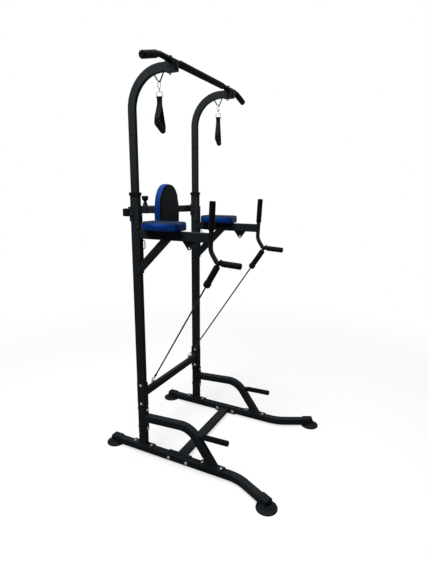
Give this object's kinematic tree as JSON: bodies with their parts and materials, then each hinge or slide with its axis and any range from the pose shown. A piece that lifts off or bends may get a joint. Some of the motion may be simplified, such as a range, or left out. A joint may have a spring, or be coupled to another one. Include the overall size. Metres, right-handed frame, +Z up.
{
  "type": "dip station",
  "caption": "Free-standing steel dip and pull-up tower with padded arms, back pad, push-up and dip handles, a raised grip bar, hanging strap handles and elastic bands.",
  "frame": {"origin": "on the floor, at the middle of the outline of everything but the bands", "axes": "+Z up, -Y towards the front, where the user stands, +X across the uprights to the side that is far away in the picture"},
  "size_m": [1.027, 1.057, 1.988],
  "materials": {
    "paint": "satin black powder coat",
    "foot_rubber": "matt moulded rubber",
    "plastic": "fine-grained black plastic",
    "foam": "soft closed-cell foam",
    "vinyl": "blue vinyl with a fine grain over foam",
    "bright_steel": "bright plated steel",
    "webbing": "woven nylon webbing",
    "elastic": "round elastic cord"
  },
  "bodies": {
    "frame": {"base_cross_tube": "paint", "lower_crossbar": "paint", "backrest_crossbar": "paint", "knob_spring": "bright_steel", "left_rail": "paint", "left_front_foot": "foot_rubber", "left_rear_foot": "foot_rubber", "left_upright": "paint", "left_upright_bushing": "plastic", "left_push_up_handle": "paint", "left_push_up_grip": "foam", "left_arm": "paint", "left_arm_pad": "vinyl", "left_dip_handle": "paint", "left_vertical_grip": "foam", "left_forward_grip": "foam", "left_backrest_bar_cap": "plastic", "left_band_handle": "plastic", "left_band": "elastic", "left_band_plug": "plastic", "left_band_link": "bright_steel", "right_rail": "paint", "right_front_foot": "foot_rubber", "right_rear_foot": "foot_rubber", "right_upright": "paint", "right_upright_bushing": "plastic", "right_push_up_handle": "paint", "right_push_up_grip": "foam", "right_arm": "paint", "right_arm_pad": "vinyl", "right_dip_handle": "paint", "right_vertical_grip": "foam", "right_forward_grip": "foam", "right_backrest_bar_cap": "plastic", "right_band_handle": "plastic", "right_band": "elastic", "right_band_plug": "plastic", "right_band_link": "bright_steel"},
    "masts": {"pull_up_bar": "paint", "bar_centre_grip": "foam", "left_mast": "paint", "left_mast_cap": "plastic", "left_bar_tip_grip": "foam", "right_mast": "paint", "right_mast_cap": "plastic", "right_bar_tip_grip": "foam"},
    "backrest": {"backrest_slide": "bright_steel", "back_pad_mount": "paint", "back_pad": "vinyl"},
    "knob": {"pull_knob": "plastic"},
    "left_hook": {"left_snap_hook": "bright_steel"},
    "left_gate": {"left_hook_gate": "bright_steel"},
    "left_hanging_strap": {"left_strap_ring": "bright_steel", "left_strap": "webbing"},
    "left_turning_grip": {"left_strap_grip": "foam"},
    "right_hook": {"right_snap_hook": "bright_steel"},
    "right_gate": {"right_hook_gate": "bright_steel"},
    "right_hanging_strap": {"right_strap_ring": "bright_steel", "right_strap": "webbing"},
    "right_turning_grip": {"right_strap_grip": "foam"}
  },
  "joints": [
    {"name": "mast_slide", "type": "slide", "parent": "frame", "child": "masts", "axis": [0, 0, 1], "range_m": [-0.235, 0.1]},
    {"name": "backrest_slide", "type": "slide", "parent": "frame", "child": "backrest", "axis": [0, -1, 0], "range_m": [-0.004, 0.075]},
    {"name": "knob_pull", "type": "slide", "parent": "frame", "child": "knob", "axis": [0, 0, 1], "range_m": [0, 0.008], "stiffness_N_per_m": 1500, "springref_m": -0.004, "deforming": ["knob_spring"]},
    {"name": "left_hook_swing", "type": "hinge", "parent": "masts", "child": "left_hook", "pos_m": [-0.295, 0.11913, 1.88701], "axis": [0, 1, 0], "range_deg": [-30, 30]},
    {"name": "left_gate_swing", "type": "hinge", "parent": "left_hook", "child": "left_gate", "pos_m": [-0.28866, 0.11617, 1.87131], "axis": [-0.4226, -0.9063, 0], "range_deg": [0, 20], "stiffness_Nm_per_rad": 0.02, "springref_deg": -5.73},
    {"name": "left_strap_swing", "type": "hinge", "parent": "left_hook", "child": "left_hanging_strap", "pos_m": [-0.295, 0.11913, 1.84641], "axis": [0.9397, 0.342, 0], "range_deg": [-30, 25]},
    {"name": "left_grip_turn", "type": "hinge", "parent": "left_hanging_strap", "child": "left_turning_grip", "pos_m": [-0.295, 0.11913, 1.69881], "axis": [0.9224, 0.3357, -0.1908], "continuous": true},
    {"name": "right_hook_swing", "type": "hinge", "parent": "masts", "child": "right_hook", "pos_m": [0.295, 0.11913, 1.88701], "axis": [0, 1, 0], "range_deg": [-30, 30]},
    {"name": "right_gate_swing", "type": "hinge", "parent": "right_hook", "child": "right_gate", "pos_m": [0.30134, 0.11617, 1.87131], "axis": [-0.4226, -0.9063, 0], "range_deg": [0, 20], "stiffness_Nm_per_rad": 0.02, "springref_deg": -5.73},
    {"name": "right_strap_swing", "type": "hinge", "parent": "right_hook", "child": "right_hanging_strap", "pos_m": [0.295, 0.11913, 1.84641], "axis": [0.9397, 0.342, 0], "range_deg": [-30, 25]},
    {"name": "right_grip_turn", "type": "hinge", "parent": "right_hanging_strap", "child": "right_turning_grip", "pos_m": [0.295, 0.11913, 1.69881], "axis": [0.9224, 0.3357, -0.1908], "continuous": true}
  ]
}
